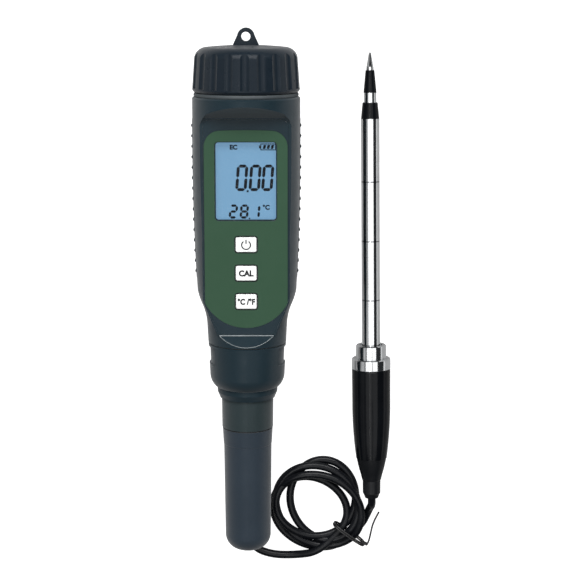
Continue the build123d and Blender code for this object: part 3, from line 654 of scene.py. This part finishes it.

# ---------------------------------------------------------------- keys
# Three silicone rubber keys stand through the label, with a dark ring of painted shade round
# each.  Their signs are printed in dark ink: a power sign, CAL and the two temperature
# scales.
key_rubber = moulded_material(
    "key_rubber", (0.96, 0.97, 0.96), (0.93, 0.94, 0.93), gloss=(0.45, 0.6),
    grain=2400.0, depth=0.02, patches=220.0
)
dress(key_rubber, "key_power", "key_cal", "key_unit")
# Painted shade: a dark ring on the label round each key, where the key's raised edge shades it.
key_painted_shade = moulded_material(
    "key_painted_shade", (0.013, 0.020, 0.018), (0.016, 0.024, 0.021), gloss=(0.45, 0.6),
    grain=3000.0, depth=0.004, ior_level=0.12
)
label_top = centre_of("front_label")[2]
CORNER_X = 3.1
CORNER_Y = 2.05
CORNER_R = 0.85
LINE_WIDTH = 0.30
CORNER_STEPS = 4
for node, name in (
    ("key_power", "power_surround"),
    ("key_cal", "cal_surround"),
    ("key_unit", "scale_surround"),
):
    x, y, _ = centre_of(node)
    edges = []
    for reach in (CORNER_R + LINE_WIDTH, CORNER_R):
        corners = []
        for across, up, quarter in ((1, 1, 0), (-1, 1, 1), (-1, -1, 2), (1, -1, 3)):
            for step in range(CORNER_STEPS + 1):
                angle = math.radians(90 * (quarter + step / CORNER_STEPS))
                corners.append((
                    x + across * CORNER_X + reach * math.cos(angle),
                    y + up * CORNER_Y + reach * math.sin(angle),
                    label_top + 0.005,
                ))
        edges.append(corners)
    outer, inner = edges
    strips = []
    for step in range(len(outer)):
        after = (step + 1) % len(outer)
        strips.append([outer[step], outer[after], inner[after], inner[step]])
    printed_shapes(name, strips, 0.02, "root", key_painted_shade)
key_ink = moulded_material(
    "key_ink", (0.012, 0.013, 0.015), (0.020, 0.021, 0.023), gloss=(0.45, 0.6),
    grain=3000.0, depth=0.004, ior_level=0.15
)
for node, name, words, width, height, body in (
    ("key_cal", "cal_sign", "CAL", 5.3, 2.3, "cal_key"),
    ("key_unit", "scale_sign", "°C /°F", 6.3, 2.4, "unit_key"),
):
    x, y, top = centre_of(node)
    printed_text(name, words, (x, y, top + 0.01), height, width, body, key_ink)

power_x, power_y, power_top = centre_of("key_power")
power_top += 0.005
power_marks = []
ARC_STEPS = 20
for step in range(ARC_STEPS):
    start = math.radians(125 + 290 * step / ARC_STEPS)
    end = math.radians(125 + 290 * (step + 1) / ARC_STEPS)
    power_marks.append([
        (power_x + reach * math.cos(angle), power_y - 0.1 + reach * math.sin(angle), power_top)
        for reach, angle in ((1.80, start), (1.80, end), (1.36, end), (1.36, start))
    ])
power_marks.append([
    (power_x + x, power_y + y, power_top)
    for x, y in ((-0.22, 0.35), (0.22, 0.35), (0.22, 1.85), (-0.22, 1.85))
])
printed_shapes("power_sign", power_marks, 0.02, "power_key", key_ink)

# ---------------------------------------------------------------- battery cap and seal
# A fluted screw cap of the body's plastic, with a lanyard lug, closes on a grey silicone
# ring.  The contact disc and its sprung leaf ride up with it.
cap_plastic = moulded_material(
    "cap_plastic", (0.0035, 0.0095, 0.0165), (0.006, 0.0125, 0.020), gloss=(0.26, 0.38),
    grain=2600.0, depth=0.020, patches=120.0, ior_level=0.16, bloom=0.16
)
seal_rubber = moulded_material(
    "seal_rubber", (0.045, 0.056, 0.062), (0.060, 0.072, 0.078), gloss=(0.5, 0.65),
    grain=1800.0, depth=0.02
)
white_plastic = moulded_material(
    "white_plastic", (0.72, 0.72, 0.69), (0.64, 0.64, 0.60), gloss=(0.4, 0.55),
    grain=2200.0, depth=0.02
)
dress(cap_plastic, "battery_cap")
dress(seal_rubber, "cap_seal")
dress(white_plastic, "contact_disc", "collar_washer", "lcd_frame", "wire_header")

turned, ends_in, ends_out = node_group(
    "turned_metal",
    [
        ("Colour", "NodeSocketColor", (0.6, 0.6, 0.6, 1.0)),
        ("Stained Colour", "NodeSocketColor", (0.5, 0.5, 0.5, 1.0)),
        ("Along", "NodeSocketFloat", 0.0),
        ("Least Roughness", "NodeSocketFloat", 0.1),
        ("Most Roughness", "NodeSocketFloat", 0.25),
    ],
    [
        ("Colour", "NodeSocketColor"),
        ("Roughness", "NodeSocketFloat"),
        ("Height", "NodeSocketFloat"),
    ],
)
place = add_node(turned, "ShaderNodeTexCoord")
stains = add_noise(turned, place, 180.0, 5.0)
tool_lines = add_node(turned, "ShaderNodeTexNoise", noise_dimensions="1D", Scale=3500.0, Detail=3.0)
stain_share = add_range(turned, stains.outputs["Fac"], 0.42, 0.75, 0.0, 1.0)
stain_mix = add_node(turned, "ShaderNodeMix", data_type="RGBA")
line_share = add_range(turned, tool_lines.outputs["Fac"], 0.3, 0.7, 0.0, 1.0)
turned.links.new(ends_in.outputs["Along"], tool_lines.inputs["W"])
turned.links.new(stain_share.outputs["Result"], stain_mix.inputs["Factor"])
turned.links.new(ends_in.outputs["Colour"], stain_mix.inputs[6])
turned.links.new(ends_in.outputs["Stained Colour"], stain_mix.inputs[7])
turned.links.new(ends_in.outputs["Least Roughness"], line_share.inputs["To Min"])
turned.links.new(ends_in.outputs["Most Roughness"], line_share.inputs["To Max"])
turned.links.new(stain_mix.outputs[2], ends_out.inputs["Colour"])
turned.links.new(line_share.outputs["Result"], ends_out.inputs["Roughness"])
turned.links.new(tool_lines.outputs["Fac"], ends_out.inputs["Height"])


def turned_material(name, colour, stained, gloss, axis, depth):
    """Metal turned or polished about an axis: depth is its tool lines' in mm.  It returns the
    material, its shader, its tree, its surface group and the distance along the axis."""
    made, shader, tree = material(name, colour, gloss[0], 1.0)
    place = add_node(tree, "ShaderNodeTexCoord")
    along = add_node(tree, "ShaderNodeVectorMath", operation="DOT_PRODUCT")
    along.inputs[1].default_value = axis
    surface = tree.nodes.new("ShaderNodeGroup")
    surface.node_tree = turned
    surface.inputs["Colour"].default_value = (*colour, 1.0)
    surface.inputs["Stained Colour"].default_value = (*stained, 1.0)
    surface.inputs["Least Roughness"].default_value = gloss[0]
    surface.inputs["Most Roughness"].default_value = gloss[1]
    bump = add_node(tree, "ShaderNodeBump", Strength=1.0, Distance=depth * MM)
    tree.links.new(place.outputs["Object"], along.inputs[0])
    tree.links.new(along.outputs["Value"], surface.inputs["Along"])
    tree.links.new(surface.outputs["Colour"], shader.inputs["Base Color"])
    tree.links.new(surface.outputs["Roughness"], shader.inputs["Roughness"])
    tree.links.new(surface.outputs["Height"], bump.inputs["Height"])
    tree.links.new(bump.outputs["Normal"], shader.inputs["Normal"])
    return made, shader, tree, surface, along


spring_brass = turned_material(
    "spring_brass", (0.78, 0.58, 0.26), (0.55, 0.36, 0.15), (0.2, 0.4), (0, 1, 0), 0.002
)[0]
dress(spring_brass, "contact_leaf", "cell_contact")

# ---------------------------------------------------------------- batteries
# Four nickel-plated button cells stand in a black moulded holder in the neck, on a brass
# contact.
cell_steel = turned_material(
    "cell_steel", (0.62, 0.62, 0.60), (0.46, 0.45, 0.42), (0.22, 0.38), (0, 1, 0), 0.003
)[0]
black_plastic = moulded_material(
    "black_plastic", (0.012, 0.012, 0.014), (0.018, 0.018, 0.020), gloss=(0.35, 0.5),
    grain=2200.0, depth=0.02
)
dress(cell_steel, "button_cells", "key_switches", "board_screws")
dress(black_plastic, "battery_holder", "board_tray")

# ---------------------------------------------------------------- collar, stem and end tube
# The collar nut draws the stem onto the body's lower neck.  The plain grey tube is pushed
# onto the stem's spigot, over a black gasket; a rubber bush lets the cable out below.
tube_plastic = moulded_material(
    "tube_plastic", (0.015, 0.026, 0.039), (0.018, 0.030, 0.044), gloss=(0.38, 0.50),
    grain=2400.0, depth=0.018, patches=70.0, ior_level=0.16, bloom=0.33
)
black_rubber = moulded_material(
    "black_rubber", (0.009, 0.009, 0.010), (0.015, 0.015, 0.016), gloss=(0.5, 0.65),
    grain=2000.0, depth=0.025
)
stem_plastic = moulded_material(
    "stem_plastic", (0.015, 0.027, 0.030), (0.018, 0.031, 0.035), gloss=(0.34, 0.46),
    grain=2600.0, depth=0.020, patches=80.0, ior_level=0.14, bloom=0.32
)
dress(shell_plastic, "collar_nut")
dress(stem_plastic, "stem_tube")
dress(tube_plastic, "end_tube")
dress(black_rubber, "stem_seal", "stem_gasket", "zebra_strip", "cord_grommet")

# ---------------------------------------------------------------- circuit board and display stack
# A glass-fibre board with a green mask carries the chip, the key switches and the wire
# header.  The frosted guide sits behind the display and gives no light; the display's glow is
# painted.
board_mask = moulded_material(
    "board_mask", (0.018, 0.11, 0.045), (0.030, 0.16, 0.07), gloss=(0.25, 0.4),
    grain=900.0, patches=500.0
)
chip_epoxy = moulded_material(
    "chip_epoxy", (0.016, 0.016, 0.018), (0.024, 0.024, 0.026), gloss=(0.55, 0.7),
    grain=3000.0
)
light_guide = moulded_material(
    "light_guide", (0.72, 0.82, 0.92), (0.66, 0.77, 0.88), gloss=(0.3, 0.45),
    grain=1500.0, depth=0.02
)
wire_vinyl = moulded_material(
    "wire_vinyl", (0.22, 0.025, 0.025), (0.16, 0.02, 0.02), gloss=(0.3, 0.45),
    grain=1800.0, depth=0.01
)
dress(board_mask, "circuit_board")
dress(chip_epoxy, "controller_chip", "thermistor")
dress(light_guide, "backlight")
dress(wire_vinyl, "signal_wires", "probe_wires")

# ---------------------------------------------------------------- probe
# A pointed steel electrode, two black cones with a steel ring between them and a polished
# steel shaft with three etched depth rings, held by a turned ferrule in a black handle.
TAILWARD = (0.011510, -0.999068, 0.041613)
TIP = (27.75 * MM, 88.1 * MM, 2.49 * MM)
polished_steel = turned_material(
    "polished_steel", (0.74, 0.75, 0.76), (0.64, 0.65, 0.66), (0.07, 0.16), TAILWARD, 0.0012
)[0]
dress(polished_steel, "tip_electrode", "ring_electrode", "shaft_ferrule")

shaft_steel, shader, tree, surface, along = turned_material(
    "shaft_steel", (0.74, 0.75, 0.76), (0.66, 0.67, 0.68), (0.06, 0.14), TAILWARD, 0.0010
)
from_tip = add_node(tree, "ShaderNodeMath", operation="SUBTRACT")
from_tip.inputs[1].default_value = sum(a * b for a, b in zip(TIP, TAILWARD))
tree.links.new(along.outputs["Value"], from_tip.inputs[0])
etched = None
for station in (47.5, 69.7, 91.9):
    ring = add_node(tree, "ShaderNodeMath", operation="COMPARE")
    ring.inputs[1].default_value = station * MM
    ring.inputs[2].default_value = 0.22 * MM
    tree.links.new(from_tip.outputs[0], ring.inputs[0])
    if etched is None:
        etched = ring
    else:
        both = add_node(tree, "ShaderNodeMath", operation="MAXIMUM")
        tree.links.new(etched.outputs[0], both.inputs[0])
        tree.links.new(ring.outputs[0], both.inputs[1])
        etched = both
etched_colour = add_node(tree, "ShaderNodeMix", data_type="RGBA")
etched_colour.inputs[7].default_value = (0.20, 0.20, 0.21, 1.0)
tree.links.new(etched.outputs[0], etched_colour.inputs["Factor"])
tree.links.new(surface.outputs["Colour"], etched_colour.inputs[6])
tree.links.new(etched_colour.outputs[2], shader.inputs["Base Color"])
dress(shaft_steel, "shaft_tube")

handle_plastic = moulded_material(
    "handle_plastic", (0.0030, 0.0036, 0.0048), (0.005, 0.006, 0.0075), gloss=(0.10, 0.17),
    grain=2000.0, depth=0.006, ior_level=0.14
)
boot_rubber = moulded_material(
    "boot_rubber", (0.0050, 0.0058, 0.0070), (0.008, 0.009, 0.0105), gloss=(0.30, 0.42),
    grain=2000.0, depth=0.02, ior_level=0.2
)
dress(handle_plastic, "probe_handle", "tip_insulator", "shaft_insulator")
dress(boot_rubber, "handle_boot")
